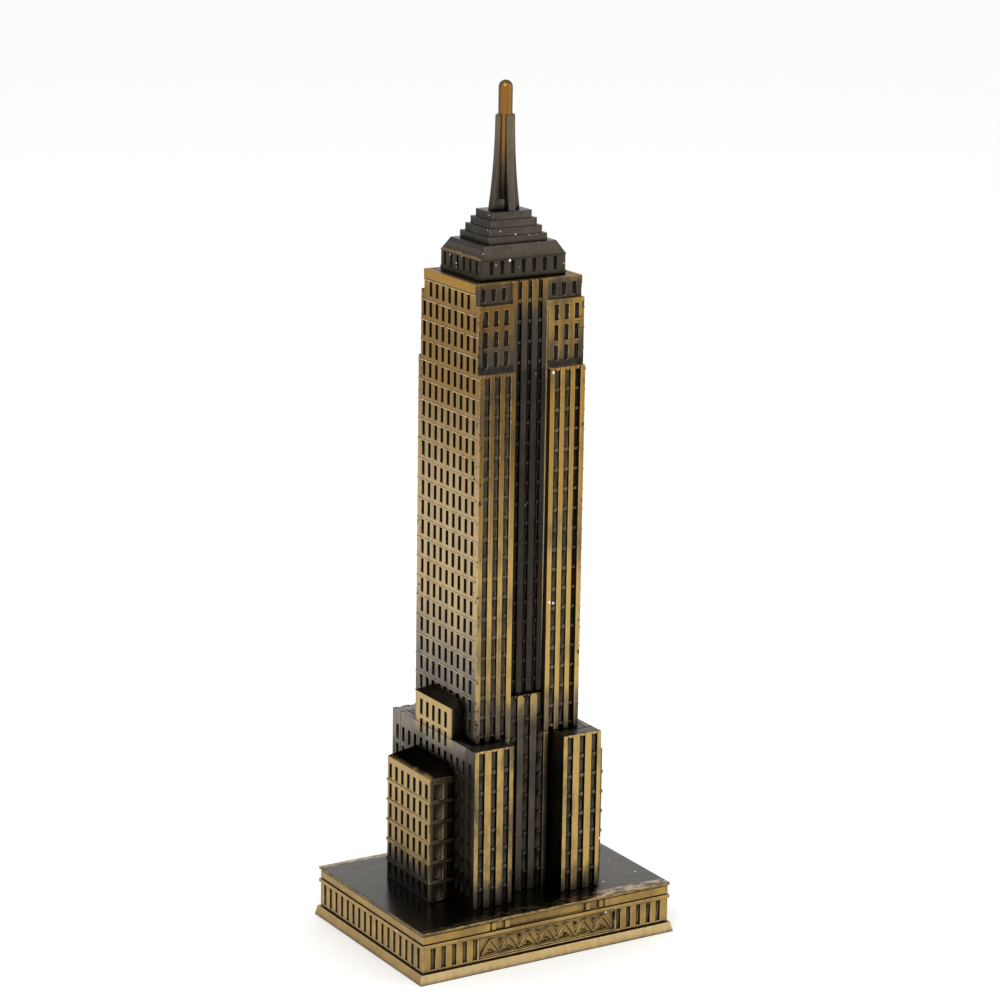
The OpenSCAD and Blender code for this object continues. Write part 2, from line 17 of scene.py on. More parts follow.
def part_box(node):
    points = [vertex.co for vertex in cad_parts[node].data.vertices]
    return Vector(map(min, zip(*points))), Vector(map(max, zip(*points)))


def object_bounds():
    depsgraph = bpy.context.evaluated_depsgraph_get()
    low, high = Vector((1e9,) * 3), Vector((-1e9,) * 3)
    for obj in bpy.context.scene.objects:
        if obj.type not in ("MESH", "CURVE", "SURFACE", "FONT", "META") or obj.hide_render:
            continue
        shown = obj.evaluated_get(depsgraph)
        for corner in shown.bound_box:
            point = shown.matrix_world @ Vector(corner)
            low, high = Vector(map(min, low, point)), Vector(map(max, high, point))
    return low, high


MM = 0.001

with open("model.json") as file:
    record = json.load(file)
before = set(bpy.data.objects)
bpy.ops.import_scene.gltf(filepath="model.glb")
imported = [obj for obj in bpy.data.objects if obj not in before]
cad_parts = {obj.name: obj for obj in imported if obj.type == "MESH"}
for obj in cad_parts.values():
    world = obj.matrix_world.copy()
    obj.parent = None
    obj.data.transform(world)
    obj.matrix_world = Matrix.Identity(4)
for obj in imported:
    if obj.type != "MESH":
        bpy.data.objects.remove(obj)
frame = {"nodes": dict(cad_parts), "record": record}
nodes = frame["nodes"]
cad_box = [list(corner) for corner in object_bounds()]
HEIGHT = cad_box[1][2]


# ---- building a material ----

class Shader:
    """A material's node tree, with one short call for each kind of node. Places are in millimetres."""

    def __init__(self, name):
        self.material = bpy.data.materials.new(name)
        self.material.use_nodes = True
        self.tree = self.material.node_tree
        self.surface = self.tree.nodes["Principled BSDF"]
        coordinates = self.tree.nodes.new("ShaderNodeTexCoord")
        self.place = self.vector("SCALE", coordinates.outputs["Object"], scale=1 / MM)
        split = self.tree.nodes.new("ShaderNodeSeparateXYZ")
        self.join(self.place, split.inputs[0])
        self.x, self.y, self.z = split.outputs
        self.facing = self.tree.nodes.new("ShaderNodeNewGeometry").outputs["True Normal"]

    def join(self, value, socket):
        if isinstance(value, bpy.types.NodeSocket):
            self.tree.links.new(value, socket)
        else:
            socket.default_value = value

    def vector(self, operation, a, b=None, scale=None):
        node = self.tree.nodes.new("ShaderNodeVectorMath")
        node.operation = operation
        self.join(a, node.inputs[0])
        if b is not None:
            self.join(b, node.inputs[1])
        if scale is not None:
            self.join(scale, node.inputs["Scale"])
        return node.outputs[0]

    def math(self, operation, a, b=0.0):
        node = self.tree.nodes.new("ShaderNodeMath")
        node.operation = operation
        self.join(a, node.inputs[0])
        self.join(b, node.inputs[1])
        return node.outputs[0]

    def multiply(self, *values):
        result = values[0]
        for value in values[1:]:
            result = self.math("MULTIPLY", result, value)
        return result

    def either(self, *values):
        result = values[0]
        for value in values[1:]:
            result = self.math("MAXIMUM", result, value)
        return result

    def ramp(self, value, low, high, start=0.0, end=1.0):
        """Smooth change from start to end as value goes from low to high."""
        node = self.tree.nodes.new("ShaderNodeMapRange")
        node.interpolation_type = "SMOOTHSTEP"
        for socket, x in zip(node.inputs, (value, low, high, start, end)):
            self.join(x, socket)
        return node.outputs[0]

    def mix(self, share, a, b):
        node = self.tree.nodes.new("ShaderNodeMix")
        node.data_type = "RGBA"
        self.join(share, node.inputs["Factor"])
        colours = [s for s in node.inputs if s.type == "RGBA"]
        for value, socket in zip((a, b), colours):
            self.join(value if isinstance(value, bpy.types.NodeSocket) else (*value, 1), socket)
        return [s for s in node.outputs if s.type == "RGBA"][0]

    def noise(self, size, stretch=(1, 1, 1), detail=3.0):
        """Noise from about 0 to 1, with blotches of that size, stretched along each axis."""
        node = self.tree.nodes.new("ShaderNodeTexNoise")
        scale = tuple(1 / (size * s) for s in stretch)
        self.join(self.vector("MULTIPLY", self.place, scale), node.inputs["Vector"])
        node.inputs["Scale"].default_value = 1.0
        node.inputs["Detail"].default_value = detail
        node.inputs["Roughness"].default_value = 0.55
        return node.outputs[0]

    def specks(self, size, share):
        """Scattered grains of dust, each smaller than size."""
        node = self.tree.nodes.new("ShaderNodeTexVoronoi")
        self.join(self.place, node.inputs["Vector"])
        node.inputs["Scale"].default_value = 1 / size
        colour = self.tree.nodes.new("ShaderNodeSeparateColor")
        self.join(node.outputs["Color"], colour.inputs[0])
        chosen = self.ramp(colour.outputs[0], 1 - share, 1 - share * 0.9)
        return self.multiply(chosen, self.ramp(node.outputs["Distance"], 0.22, 0.12))

    def open_air(self, reach):
        """1 on an open face, falling towards 0 in a hollow narrower than reach millimetres."""
        node = self.tree.nodes.new("ShaderNodeAmbientOcclusion")
        node.samples = 6
        node.inputs["Distance"].default_value = reach * MM
        return node.outputs["AO"]

    def mix_value(self, share, a, b):
        """The number a where share is 0, and b where it is 1."""
        return self.math("ADD", self.multiply(share, self.math("SUBTRACT", b, a)), a)

    def facing_part(self, axis):
        """How squarely a face looks along that axis, either way, from 0 to 1."""
        split = self.tree.nodes.new("ShaderNodeSeparateXYZ")
        self.join(self.vector("ABSOLUTE", self.facing), split.inputs[0])
        return split.outputs[axis]

    def edges(self):
        """1 on rounded edges and on slopes, and 0 on the faces that look along an axis."""
        return self.ramp(self.either(*(self.facing_part(axis) for axis in "XYZ")), 0.985, 0.93)

    def finish(self, colour, roughness, bumps):
        """Joins colour and roughness to the surface, and adds bumps, each a height in millimetres."""
        surface = self.surface
        surface.inputs["Metallic"].default_value = 1.0
        self.join(colour, surface.inputs["Base Color"])
        self.join(roughness, surface.inputs["Roughness"])
        height = bumps[0]
        for bump in bumps[1:]:
            height = self.math("ADD", height, bump)
        node = self.tree.nodes.new("ShaderNodeBump")
        node.inputs["Strength"].default_value = 1.0
        node.inputs["Distance"].default_value = MM
        self.join(height, node.inputs["Height"])
        self.join(node.outputs[0], surface.inputs["Normal"])
        return self.material


# Colours of the plating, from rubbed edge to the black left in the hollows
BRIGHT = (0.62, 0.52, 0.34)
BEIGE = (0.50, 0.365, 0.185)
GOLD = (0.43, 0.285, 0.086)
ORANGE = (0.36, 0.200, 0.030)
AMBER = (0.265, 0.148, 0.028)
OLD_GOLD = (0.26, 0.165, 0.052)
ROD_BRASS = (0.25, 0.116, 0.026)
# Rust colour that darkens the left of the front: painted shade
RUST_SHADE = (0.19, 0.096, 0.012)
GREY = (0.21, 0.180, 0.150)
DIM = (0.075, 0.064, 0.055)
BROWN = (0.054, 0.046, 0.035)
UMBER = (0.030, 0.021, 0.009)
BLACK = (0.013, 0.011, 0.009)
DUST = (0.80, 0.79, 0.77)

# Colours of the hidden parts
STEEL = (0.66, 0.67, 0.69)
FELT = (0.05, 0.12, 0.08)

# Levels and faces where the model steps back, read from the frame, in millimetres
TIP = HEIGHT / MM
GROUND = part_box("plinth_roof")[1].z / MM
PLINTH_X, PLINTH_Y = (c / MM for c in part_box("plinth_roof")[1][:2])
WING_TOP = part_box("left_wing_roof")[0].z / MM
WING_X = -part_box("left_wing_roof")[0].x / MM
PODIUM_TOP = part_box("podium_roof")[1].z / MM
PODIUM_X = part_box("front_right_pylon")[1].x / MM
PODIUM_Y = -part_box("front_right_pylon")[0].y / MM
PYLON_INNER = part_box("front_right_pylon")[0].x / MM
BAY_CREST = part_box("front_centre_bay")[1].z / MM
TOWER_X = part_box("right_step_block")[0].x / MM
TOWER_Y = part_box("tower_rear_wall")[1].y / MM
TOWER_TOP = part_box("tower_deck")[1].z / MM
CROWN_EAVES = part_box("observatory_roof")[0].z / MM
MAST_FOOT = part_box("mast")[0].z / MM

# Details that the frame's boxes don't give, in millimetres
TOP_STOREY = TOWER_TOP - 4.3    # foot of the tower's top storey
RIBBED_TOP = TOWER_TOP - 18.2   # where the ribs end and the walls with plain windows begin
RELIEF = 1.0                    # height of the ribs above the window columns
BLOCK_IN = 0.9                  # how far the windowed blocks stand back behind the ribs
TOP_IN = 2.1                    # how far the top storey and the recess stand back behind the ribs
RECESS_X = 4.1                  # half the width of the tower's recess
SPLAY_TOP = 2.2                 # top of the plinth's splayed foot
ROOF_FALL = 0.42                # how far the plinth roof slopes down from its flat top to its nosing
CROWN_COURSE = 0.1              # how far the observatory's base course stands proud of its walls
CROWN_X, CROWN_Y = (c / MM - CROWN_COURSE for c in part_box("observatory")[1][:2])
CRISP = 0.1                     # width of a sharp boundary between two looks


def antique(s, exposure, plating, worn=0.4, dust=0.012, gloss=0.30):
    """Colour and relief of blackened bronze: exposure goes from 0, black, to 1, rubbed to the plating;
    painted shade put into exposure darkens it the same way.
    """
    exposure = s.math("ADD", exposure, s.multiply(s.math("SUBTRACT", s.noise(0.9, (1, 1, 3)), 0.5), 0.25))
    low = s.mix(s.ramp(exposure, 0.0, 0.4), BLACK, BROWN)
    colour = s.mix(s.ramp(exposure, 0.35, 0.95), low, plating)
    rubbed = s.multiply(s.edges(), s.open_air(0.8), s.ramp(exposure, 0.25, 0.85), worn)
    colour = s.mix(s.multiply(rubbed, s.ramp(s.noise(0.6), 0.35, 0.65, 0.1, 1)), colour, BRIGHT)
    colour = s.mix(s.specks(1.6, dust), colour, DUST)
    grain = s.multiply(s.noise(0.5), 0.12)
    roughness = s.math("ADD", s.ramp(exposure, 0.1, 0.9, gloss, gloss + 0.08), grain)
    bumps = [s.multiply(s.noise(0.35, detail=4), 0.02), s.multiply(s.noise(2.5, detail=1), 0.05)]
    return s.finish(colour, roughness, bumps)


def streaks(s):
    """Soft upright streaks left by the rubbing."""
    return s.ramp(s.noise(1.6, (1, 1, 14), detail=2), 0.25, 0.75, 0.8, 1.0)


def patches(s):
    """Large soft patches where the rubbing went lighter."""
    return s.ramp(s.noise(9, (1, 1, 1.6), detail=2), 0.35, 0.6, 0.72, 1.0)


def wavy(s, value, size, swing):
    """Value with its level lines made ragged by noise of that size, up or down by half of swing."""
    return s.math("ADD", value, s.multiply(s.math("SUBTRACT", s.noise(size), 0.5), swing))


def away(s, axis):
    """Distance from the middle of the model along one axis."""
    return s.math("ABSOLUTE", axis)


def seam_nicks(s):
    """1 in the small nicks along the tower's upright corner seams."""
    off_corner = s.math("ABSOLUTE", s.math("SUBTRACT", away(s, s.x), TOWER_X))
    near = s.multiply(s.ramp(off_corner, 0.9, 0.4), s.ramp(away(s, s.y), 9.8, 10.1),
                      s.ramp(s.z, PODIUM_TOP, PODIUM_TOP + 1))
    return s.multiply(near, s.ramp(s.noise(0.9, (1, 1, 1.4), detail=2), 0.60, 0.68))


def side_look(s):
    """Exposure and plating of the walls that face left and right: gold high up, grey near the podium, a
    painted reflection that changes with height.
    """
    out, high = away(s, s.x), wavy(s, s.z, 9, 16)
    on_wing = s.ramp(out, PODIUM_X, PODIUM_X + CRISP)
    off_tower = s.ramp(out, TOWER_X + 1, TOWER_X + 1.2)
    above_podium = s.ramp(s.z, PODIUM_TOP, PODIUM_TOP + CRISP)

    # The podium is darker at its foot, behind the wing and on the side of the front pylon, where the
    # darkening is painted shade
    foot = s.ramp(wavy(s, s.z, 5, 6), GROUND + 2, GROUND + 12, 0.12, 1.0)
    behind_wing = s.multiply(s.ramp(high, WING_TOP + 4, WING_TOP - 2), s.math("SUBTRACT", 1.0, on_wing))
    pylon_side_shade = s.ramp(s.y, 5 - PODIUM_Y, 3 - PODIUM_Y)
    below = s.multiply(foot, s.mix_value(behind_wing, 1.0, 0.54), s.mix_value(pylon_side_shade, 1.0, 0.55))

    # The gold of the step block fades out over the podium's top row of windows
    step = s.multiply(s.ramp(wavy(s, s.z, 4, 2), PODIUM_TOP - 3, PODIUM_TOP + 2),
                      s.ramp(away(s, s.y), 8.5, 7), off_tower)
    # The tower's side is darker low down and lighter higher up, part of the same painted reflection
    tower = s.either(step, s.ramp(high, PODIUM_TOP + 1, PODIUM_TOP + 18, 0.64, 0.95))
    level = s.mix_value(above_podium, s.either(below, s.multiply(step, 0.8)), tower)
    # Patina in the small hollows, and painted shade in the wide corners that the 9 mm reach finds
    hollows = s.multiply(s.ramp(s.open_air(1.5), 0.45, 0.95),
                         s.ramp(s.open_air(9), 0.3, 0.8, 0.35, 1.0))
    exposure = s.multiply(hollows, streaks(s), level, s.ramp(seam_nicks(s), 0, 1, 1, 0.2))

    # Up the tower: grey, beige, amber and an orange parapet, a painted reflection that changes with height,
    # with bright ledges under the windows
    beige_from, beige_full, amber_from, amber_full = 56, 76, 88, 126
    tower = s.mix(s.ramp(high, beige_from, beige_full), GREY, BEIGE)
    tower = s.mix(s.ramp(high, amber_from, amber_full), tower, AMBER)
    tower = s.mix(s.ramp(s.z, TOWER_TOP - 4.5, TOWER_TOP - 2.2), tower, ORANGE)
    ledge = s.multiply(s.ramp(out, TOWER_X + 0.04, TOWER_X + 0.09), s.ramp(s.noise(1.5), 0.3, 0.6),
                       s.ramp(s.z, TOWER_TOP - 1.9, TOWER_TOP - 2.0))
    tower = s.mix(s.multiply(ledge, 0.8), tower, BRIGHT)

    # The podium goes from brown to grey, its grey the same painted reflection as on the tower, and the
    # wings and the step blocks stay gold
    grey_from, grey_full = 36, 46
    low = s.mix(s.ramp(high, grey_from, grey_full), BROWN, GREY)
    low = s.mix(s.either(on_wing, step), low, s.mix(0.45, BEIGE, GOLD))
    low = s.mix(s.multiply(on_wing, s.ramp(high, GROUND + 9, GROUND + 22, 0.75, 0.25)), low, OLD_GOLD)
    return exposure, s.mix(s.ramp(out, TOWER_X + 0.2, TOWER_X + 0.3), tower, low)


def front_levels(s, pylon, ribbed):
    """How much was rubbed off in each part of the front and the rear, with painted shade that makes the
    left darker than the right.
    """
    out, deep, high = away(s, s.x), away(s, s.y), wavy(s, s.z, 5, 7)

    # The pylons are dark at the foot, and the left one is a little darker than the right, painted shade
    pylons = s.ramp(wavy(s, s.z, 3, 4), GROUND + 1, GROUND + 8, s.ramp(s.x, -8, 8, 0.42, 0.5), 1.0)
    pylons = s.multiply(pylons, s.ramp(s.noise(1.6, (1, 1, 2)), 0.35, 0.6, 0.84, 1.0),
                        s.ramp(s.x, -8, 8, 0.87, 1.13),
                        s.ramp(s.z, PODIUM_TOP - 12, PODIUM_TOP - 3, 1.0, 1.1))

    # The ribs beside the recess are brightest a little above their foot, and dimmer at the top; the extra
    # dimming on the left is painted shade
    brightest, even, dimming, dimmest = 56, 84, 80, 112
    bays = s.ramp(high, BAY_CREST - 6, BAY_CREST + 5, 0.74, 1.0)
    bays = s.multiply(bays, s.ramp(s.z, brightest, even, 1.1, 1.0),
                      s.ramp(s.z, dimming, dimmest, 1.0, s.ramp(s.x, -6, 6, 0.84, 0.98)))

    # The blocks above the ribs have nine windows each, and the top storey three
    windows = s.ramp(wavy(s, s.z, 6, 4), RIBBED_TOP + 1, TOP_STOREY - 2, 0.5, 0.77)
    # The right block is lighter than the left: painted light falling from the right
    windows = s.multiply(windows, s.ramp(s.x, -6, 6, 0.97, 1.13))
    windows = s.multiply(windows, s.ramp(s.z, RIBBED_TOP + 1.4, RIBBED_TOP + 1.7, 0.4, 1.0))
    top = s.ramp(wavy(s, s.z, 2, 1), TOWER_TOP - 2.5, TOWER_TOP, 0.42, 0.66)
    top_storey = s.ramp(s.z, TOP_STOREY, TOP_STOREY + 0.2)
    pocket = s.math("SUBTRACT", deep, s.mix_value(top_storey, TOWER_Y - BLOCK_IN, TOWER_Y - TOP_IN))
    upper = s.multiply(s.mix_value(top_storey, windows, top), s.ramp(pocket, -0.12, -0.2, 1.0, 0.25))
    tower = s.mix_value(ribbed, upper, bays)

    # The recess is dark, with darker grooves, and the bay's round-headed ribs at its foot are light
    bay_face = TOWER_Y - 1.25
    groove = s.ramp(deep, TOWER_Y - TOP_IN + CRISP, TOWER_Y - TOP_IN - CRISP, 1.0, 0.3)
    hollow = s.mix_value(s.ramp(deep, bay_face - CRISP / 2, bay_face + CRISP / 2),
                         s.multiply(s.ramp(s.z, TOWER_TOP - 12, TOWER_TOP, 0.37, 0.80), groove),
                         s.ramp(high, BAY_CREST - 7, BAY_CREST - 1, 0.5, 0.9))
    tower = s.mix_value(s.ramp(out, RECESS_X, RECESS_X - CRISP), tower, hollow)
    centre = s.multiply(s.ramp(out, PYLON_INNER + CRISP, PYLON_INNER),
                        s.ramp(s.z, PODIUM_TOP + 2, PODIUM_TOP - 3))
    tower = s.mix_value(centre, tower, s.ramp(high, GROUND, PODIUM_TOP, 0.45, 0.58))
    return s.mix_value(pylon, tower, pylons)


def front_look(s):
    """Exposure and plating of the walls that face front and rear: gold ribs with brown windows between."""
    out, deep, high = away(s, s.x), away(s, s.y), wavy(s, s.z, 5, 7)
    pylon = s.multiply(s.ramp(deep, TOWER_Y + 0.3, TOWER_Y + 0.6),
                       s.ramp(s.z, PODIUM_TOP + 0.5, PODIUM_TOP + 0.3))
    ribbed = s.ramp(s.z, RIBBED_TOP + CRISP, RIBBED_TOP - CRISP)
    recess = s.ramp(out, RECESS_X, RECESS_X - CRISP)
    height = s.math("SUBTRACT", s.math("SUBTRACT", deep, TOWER_Y - RELIEF),
                    s.multiply(pylon, PODIUM_Y - TOWER_Y))

    # Window columns, the spandrels a little above them, and the ribs
    spandrel, rib_face = (0.1, 0.3), (0.58, 0.66)
    rib = s.math("ADD", s.ramp(height, *spandrel, 0.62, 0.7), s.ramp(height, *rib_face, 0, 0.3))
    rib = s.mix_value(ribbed, 1.0, rib)
    # Rounded edges inside the recess are darkened: painted shade over the shine their rounding would catch
    in_recess = s.multiply(recess, s.ramp(s.z, BAY_CREST - 0.2, BAY_CREST),
                           s.ramp(s.z, TOWER_TOP - 3, TOWER_TOP - 9))
    recess_edge_shade = s.ramp(s.multiply(in_recess, s.edges()), 0, 1, 1, 0.3)
    # Patina in the small hollows, and painted shade in the wide corners that the 9 mm reach finds
    hollows = s.multiply(s.ramp(s.open_air(1.2), 0.3, 0.8, 0.55, 1),
                         s.ramp(s.open_air(9), 0.3, 0.7, 0.6, 1))
    exposure = s.multiply(hollows, streaks(s), patches(s), front_levels(s, pylon, ribbed), rib, recess_edge_shade,
                          s.ramp(seam_nicks(s), 0, 1, 1, 0.25))

    # High up the plating is a darker rust on the left, painted shade, and orange on the right, and grey
    # near the podium
    tinted_full, tinted_from = 108, 78
    tinted = s.mix(s.ramp(s.x, -8, 6), RUST_SHADE, s.mix(0.4, ORANGE, OLD_GOLD))
    plating = s.mix(s.ramp(wavy(s, s.z, 8, 20), tinted_full, tinted_from), tinted, GOLD)
    foot = s.multiply(s.ramp(high, BAY_CREST + 2, BAY_CREST - 6),
                      s.ramp(s.z, PODIUM_TOP, PODIUM_TOP + CRISP))
    plating = s.mix(foot, plating, s.mix(0.45, OLD_GOLD, GREY))
    lower = s.multiply(recess, s.ramp(high, BAY_CREST - 3, BAY_CREST - 9))
    plating = s.mix(lower, plating, s.mix(0.6, OLD_GOLD, GREY))
    between = s.mix(s.ramp(height, *spandrel), s.mix(0.4, OLD_GOLD, BROWN), s.mix(0.5, OLD_GOLD, GREY))
    between = s.mix(recess, between, s.mix(0.5, DIM, GREY))
    below_face = s.ramp(height, *reversed(rib_face))
    return exposure, s.mix(s.multiply(ribbed, below_face), plating, between)


def slope_gloss(s):
    """Keeps the glancing shine off the sloping roofs, which stay black."""
    slope = s.multiply(s.ramp(s.facing_part("Z"), 0.25, 0.4), s.ramp(s.facing_part("Z"), 0.995, 0.98))
    s.join(s.mix(slope, (1.0, 1.0, 1.0), (0.2, 0.2, 0.2)), s.surface.inputs["Specular Tint"])
    return slope


def jambs(s):
    """1 on the upright faces inside the windows of the side walls, the wings and the step blocks."""
    # How far from the middle the outermost windows reach on each wall
    tower_end, top_end, step_end, podium_end, wing_end = 10.5, 8.1, 5.6, 15.6, 8.1
    out, above = away(s, s.x), s.ramp(s.z, PODIUM_TOP, PODIUM_TOP + CRISP)
    reach = s.mix_value(s.ramp(s.z, TOP_STOREY, TOP_STOREY + 0.2), tower_end, top_end)
    reach = s.mix_value(s.ramp(out, TOWER_X + 0.2, TOWER_X + 0.3), reach, step_end)
    on_wing = s.ramp(out, PODIUM_X, PODIUM_X + CRISP)
    reach = s.mix_value(above, s.mix_value(on_wing, podium_end, wing_end), reach)
    inside = s.math("SUBTRACT", away(s, s.y), reach)
    return s.multiply(s.ramp(inside, CRISP / 2, -CRISP / 2), s.ramp(out, TOWER_X - 1, TOWER_X - 0.9))


def rib_flanks(s):
    """1 on the sides of the ribs that stand on the tower's front and rear."""
    floor = TOWER_Y - RELIEF
    return s.multiply(s.ramp(away(s, s.y), floor - 0.05, floor + 0.1),
                      s.ramp(away(s, s.x), TOWER_X - 0.3, TOWER_X - 0.4),
                      s.ramp(s.z, PODIUM_TOP, PODIUM_TOP + 8), s.ramp(s.z, RIBBED_TOP + CRISP, RIBBED_TOP))


def wall_bronze(name):
    """Cast wall, whose look depends on which way each of its faces looks."""
    s = Shader(name)
    side, side_plating = side_look(s)
    front, front_plating = front_look(s)
    turned = s.ramp(s.facing_part("Y"), 0.5, 0.75)
    out = away(s, s.x)
    on_wing = s.ramp(out, PODIUM_X, PODIUM_X + CRISP)
    narrow = s.multiply(s.ramp(out, WING_X - 0.5, WING_X - 0.1, 0.54, 0.8),
                        s.ramp(s.open_air(1.5), 0.45, 0.85, 0.05, 1.0))
    front = s.mix_value(on_wing, front, narrow)
    step_return = s.multiply(s.ramp(out, TOWER_X + 0.2, TOWER_X + 0.3),
                             s.ramp(s.z, PODIUM_TOP + 0.3, PODIUM_TOP + 0.4))
    front = s.mix_value(step_return, front, s.ramp(out, PODIUM_X - 0.8, PODIUM_X, 0.15, 0.7))
    front = s.multiply(front, s.ramp(jambs(s), 0, 1, 1, 0.12))
    flanks = rib_flanks(s)
    side = s.either(side, s.multiply(flanks, 0.55))
    side_plating = s.mix(flanks, side_plating, OLD_GOLD)
    exposure = s.mix_value(s.multiply(slope_gloss(s), step_return), s.mix_value(turned, side, front), 0.15)
    return antique(s, exposure, s.mix(turned, side_plating, front_plating))


def plinth_bronze():
    """Plinth wall and frieze: gold, with painted light making the sides a little paler, and dark slots."""
    s = Shader("plinth_bronze")
    exposure = s.multiply(s.ramp(s.open_air(1.4), 0.4, 0.95, 0.12, 1), streaks(s))
    # The faces that look left and right are paler: painted light
    plating = s.mix(s.ramp(s.facing_part("X"), 0.4, 0.7), OLD_GOLD, s.mix(0.76, BEIGE, OLD_GOLD))
    splay = s.ramp(s.z, SPLAY_TOP, SPLAY_TOP - 0.3)
    plating = s.mix(s.multiply(splay, s.ramp(s.facing_part("Y"), 0.5, 0.7)), plating, BEIGE)
    plating = s.mix(s.ramp(s.noise(4), 0.35, 0.65, 0, 0.6), plating, GOLD)
    return antique(s, exposure, plating)


def crease(s, inner, outer):
    """1 on the thin lines that join the corners of two rectangles, each given by its half sizes."""
    across, deep = (s.math("DIVIDE", s.math("SUBTRACT", away(s, axis), near), far - near)
                    for axis, near, far in zip((s.x, s.y), inner, outer))
    gap = s.math("ABSOLUTE", s.math("SUBTRACT", across, deep))
    slope = math.hypot(1 / (outer[0] - inner[0]), 1 / (outer[1] - inner[1]))
    soft_edge, core = 0.14, 0.07
    return s.ramp(gap, soft_edge * slope, core * slope)


def plinth_patina():
    """Plinth roof: smooth and nearly black, rubbed ragged along its front and rear edges."""
    s = Shader("plinth_patina")
    # The rubbed band is narrow at the left end and widens towards the middle
    edge = s.math("SUBTRACT", PLINTH_Y, away(s, s.y))
    left_end, middle = -32, 0
    width = s.ramp(s.x, left_end, middle, 2.2, 4.5)
    rubbed = s.multiply(s.ramp(wavy(s, edge, 2.5, 2.6), width, s.multiply(width, 0.4)),
                        s.ramp(s.noise(0.45, (5, 1.5, 1)), 0.33, 0.55))
    nosing = s.ramp(s.z, GROUND - ROOF_FALL, GROUND - ROOF_FALL - 0.04)
    near_corner = s.ramp(s.math("ADD", s.x, s.y), -28, -42, 0.0, 0.1)
    flat = s.math("ADD", s.ramp(s.noise(14), 0.4, 0.7, 0.28, 0.42), near_corner)
    exposure = s.either(s.multiply(nosing, s.ramp(s.noise(3), 0.3, 0.6, 0.44, 0.63)),
                        s.multiply(rubbed, 0.8), flat)
    # Thin dark lines along the hips, painted shade where the roof's slopes meet
    hips = crease(s, (PODIUM_X, PODIUM_Y), (PLINTH_X, PLINTH_Y))
    exposure = s.multiply(exposure, s.mix_value(nosing, s.ramp(hips, 0, 1, 1, 0), 1.0))
    plating = s.mix(nosing, s.mix(rubbed, GREY, BEIGE), s.mix(0.2, OLD_GOLD, GOLD))
    return antique(s, exposure, plating, worn=0.25, dust=0.03, gloss=0.15)


def roof_patina():
    """Podium and wing roofs: brown along the eaves, a painted warm reflection, and black towards the tower.
    """
    s = Shader("roof_patina")
    out = away(s, s.x)
    flat = s.ramp(s.facing_part("Z"), 0.985, 0.995)
    slope_gloss(s)
    # Brown along the eaves: a painted warm reflection
    eaves_reflection = s.either(s.ramp(wavy(s, out, 1.5, 1), WING_X - 1.4, WING_X - 0.2, 0.0, 0.8),
                     s.multiply(flat, s.ramp(out, TOWER_X, PODIUM_X, 0.1, 0.5)))
    exposure = s.multiply(eaves_reflection, s.ramp(s.noise(2), 0.3, 0.7, 0.6, 1.1))
    return antique(s, exposure, s.mix(flat, OLD_GOLD, GREY), worn=0.0, dust=0.02, gloss=0.26)


def crown_patina():
    """Observatory, pyramid and mast: dark metal, brown at the sides and greyer up the mast."""
    s = Shader("crown_patina")
    roof_to_pyramid = (MAST_FOOT - 9, MAST_FOOT - 7)
    front = s.ramp(s.facing_part("Y"), 0.2, 0.6, 0.25, 0.8)
    front = s.multiply(front, s.ramp(s.z, *roof_to_pyramid, 0.6, 1.0))
    exposure = s.multiply(s.ramp(s.open_air(2), 0.2, 0.9, 0.2, 0.8), streaks(s), front)
    exposure = s.either(exposure, s.ramp(s.z, TIP - 34, TIP - 10, 0, 0.62))

    metal = s.mix(s.ramp(s.noise(6), 0.3, 0.8), DIM, s.mix(0.25, DIM, GREY))
    side = s.multiply(s.ramp(s.facing_part("X"), 0.4, 0.6), s.ramp(s.z, MAST_FOOT - 6, MAST_FOOT - 8))
    metal = s.mix(side, metal, UMBER)
    metal = s.mix(s.ramp(s.z, TIP - 30, TIP - 10), metal, s.mix(0.45, GREY, OLD_GOLD))
    eave = s.multiply(s.ramp(wavy(s, s.z, 2, 0.3), CROWN_EAVES + 0.7, CROWN_EAVES + 0.2),
                      s.ramp(s.z, CROWN_EAVES, CROWN_EAVES + CRISP),
                      s.ramp(s.facing_part("X"), 0.3, 0.5, 0.2, 0.9))
    metal = s.mix(eave, metal, OLD_GOLD)

    # Pale crumbs up to the foot of the mast, and black inside the windows
    crumbs = s.multiply(s.specks(0.9, 0.3), s.ramp(s.noise(2.2), 0.5, 0.6),
                        s.ramp(s.z, MAST_FOOT + 4, MAST_FOOT))
    slots = s.multiply(s.ramp(away(s, s.x), CROWN_X - CRISP / 2, CROWN_X - CRISP),
                       s.ramp(away(s, s.y), CROWN_Y - CRISP / 2, CROWN_Y - CRISP),
                       s.ramp(s.z, CROWN_EAVES, CROWN_EAVES - CRISP))
    exposure = s.either(exposure, crumbs, s.multiply(side, 0.8), s.multiply(eave, 0.7))
    exposure = s.mix_value(slots, exposure, -0.2)
    return antique(s, exposure, s.mix(crumbs, metal, DUST), worn=0.03, dust=0.04, gloss=0.28)


def rod_brass():
    """Antenna rod: orange brass at the tip, dark between the fins, and darker down its left and right sides
    as seen from the camera, a painted dark reflection.
    """
    s = Shader("rod_brass")
    # Darker towards the rod's left and right sides as seen from the camera: a painted dark reflection at
    # glancing angles
    view_line = (0.521, 0.853)
    along = s.math("ADD", s.multiply(s.x, view_line[0]), s.multiply(s.y, view_line[1]))
    dark_sides_in_view = s.ramp(s.math("ABSOLUTE", along), 0.4, 1.25, 0.25, 1.0)
    exposure = s.multiply(s.ramp(s.z, TIP - 25, TIP - 10, 0.0, 1.0), dark_sides_in_view, streaks(s))
    return antique(s, exposure, ROD_BRASS, worn=0.0, gloss=0.2)


